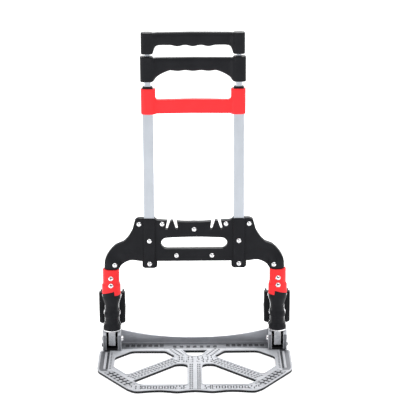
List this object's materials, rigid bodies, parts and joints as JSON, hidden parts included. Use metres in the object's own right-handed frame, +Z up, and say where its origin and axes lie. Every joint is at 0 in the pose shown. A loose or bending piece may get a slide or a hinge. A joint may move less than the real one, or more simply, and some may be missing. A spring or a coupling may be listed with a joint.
{
  "type": "hand truck",
  "caption": "Folding two-wheeled hand truck with a telescoping double grip, a red cross bar, a folding open toe plate and wheels that turn inwards as the plate folds up.",
  "frame": {"origin": "middle of the base, on the floor", "axes": "+Z up, -Y to the front where the toe plate lies, +X to the right seen from the front"},
  "size_m": [0.3974, 0.4008, 0.67],
  "materials": {
    "black_plastic": "satin moulded glass-filled nylon",
    "red_plastic": "satin moulded red plastic",
    "rail_aluminium": "pale satin anodised",
    "cast_plate": "silver-grey coated casting",
    "bright_steel": "bright plated",
    "post_steel": "zinc-plated steel",
    "tyre_rubber": "solid black rubber",
    "rim_plastic": "dark grey moulded rim"
  },
  "bodies": {
    "frame": {"housing_front_shell": "black_plastic", "housing_rear_shell": "black_plastic", "yoke": "red_plastic", "rivet_centre": "bright_steel", "rivet_top_outer_left": "bright_steel", "rivet_top_inner_left": "bright_steel", "rivet_rail_left": "bright_steel", "rivet_lower_left": "bright_steel", "rivet_tab_left": "bright_steel", "rivet_wing_left": "bright_steel", "rivet_top_outer_right": "bright_steel", "rivet_top_inner_right": "bright_steel", "rivet_rail_right": "bright_steel", "rivet_lower_right": "bright_steel", "rivet_tab_right": "bright_steel", "rivet_wing_right": "bright_steel", "collar_rivet_upper_left": "bright_steel", "collar_rivet_lower_left": "bright_steel", "collar_rivet_upper_right": "bright_steel", "collar_rivet_lower_right": "bright_steel", "outer_tube_left": "rail_aluminium", "tube_bushing_left": "black_plastic", "leg_post_left": "post_steel", "cam_collar_left": "red_plastic", "outer_tube_right": "rail_aluminium", "tube_bushing_right": "black_plastic", "leg_post_right": "post_steel", "cam_collar_right": "red_plastic"},
    "toe": {"toe_plate": "cast_plate", "toe_clevis_left": "cast_plate", "pivot_pin_left": "bright_steel", "toe_clevis_right": "cast_plate", "pivot_pin_right": "bright_steel"},
    "lift_left": {"thrust_disc_left": "bright_steel", "return_spring_left": "post_steel"},
    "swivel_left": {"swivel_sleeve_left": "black_plastic", "bracket_plate_left": "post_steel", "wheel_fork_left": "black_plastic", "axle_left": "bright_steel"},
    "wheel_left": {"wheel_bearing_left": "post_steel", "wheel_rim_left": "rim_plastic", "tyre_left": "tyre_rubber"},
    "lift_right": {"thrust_disc_right": "bright_steel", "return_spring_right": "post_steel"},
    "swivel_right": {"swivel_sleeve_right": "black_plastic", "bracket_plate_right": "post_steel", "wheel_fork_right": "black_plastic", "axle_right": "bright_steel"},
    "wheel_right": {"wheel_bearing_right": "post_steel", "wheel_rim_right": "rim_plastic", "tyre_right": "tyre_rubber"},
    "stage_one": {"handle_mid": "black_plastic", "stage_one_tube_left": "rail_aluminium", "guide_plug_left": "black_plastic", "stage_one_tube_right": "rail_aluminium", "guide_plug_right": "black_plastic"},
    "stage_two": {"handle_upper": "black_plastic", "stage_two_tube_left": "rail_aluminium", "stage_two_tube_right": "rail_aluminium"}
  },
  "joints": [
    {"name": "toe_fold", "type": "hinge", "parent": "frame", "child": "toe", "pos_m": [0, 0.04089, 0.03], "axis": [-1, 0, 0], "range_deg": [0, 90]},
    {"name": "lift_left", "type": "slide", "parent": "frame", "child": "lift_left", "axis": [0, 0, 1], "range_m": [-0.008, 0], "deforming": ["return_spring_left"]},
    {"name": "swivel_left", "type": "hinge", "parent": "lift_left", "child": "swivel_left", "pos_m": [-0.1716, 0.04589, 0.09], "axis": [0, 0, -1], "range_deg": [0, 90]},
    {"name": "wheel_left", "type": "hinge", "parent": "swivel_left", "child": "wheel_left", "pos_m": [-0.1716, 0.13689, 0.0635], "axis": [1, 0, 0], "continuous": true},
    {"name": "lift_right", "type": "slide", "parent": "frame", "child": "lift_right", "axis": [0, 0, 1], "range_m": [-0.008, 0], "deforming": ["return_spring_right"]},
    {"name": "swivel_right", "type": "hinge", "parent": "lift_right", "child": "swivel_right", "pos_m": [0.1716, 0.04589, 0.09], "axis": [0, 0, 1], "range_deg": [0, 90]},
    {"name": "wheel_right", "type": "hinge", "parent": "swivel_right", "child": "wheel_right", "pos_m": [0.1716, 0.13689, 0.0635], "axis": [1, 0, 0], "continuous": true},
    {"name": "stage_one", "type": "slide", "parent": "frame", "child": "stage_one", "axis": [0, 0, 1], "range_m": [0, 0.165]},
    {"name": "stage_two", "type": "slide", "parent": "stage_one", "child": "stage_two", "axis": [0, 0, 1], "range_m": [0, 0.165]}
  ],
  "couplings": [
    {"joint": "lift_left", "follows": "toe_fold", "m_per_rad": -0.005},
    {"joint": "swivel_left", "follows": "toe_fold", "ratio": 1},
    {"joint": "lift_right", "follows": "toe_fold", "m_per_rad": -0.005},
    {"joint": "swivel_right", "follows": "toe_fold", "ratio": 1}
  ]
}
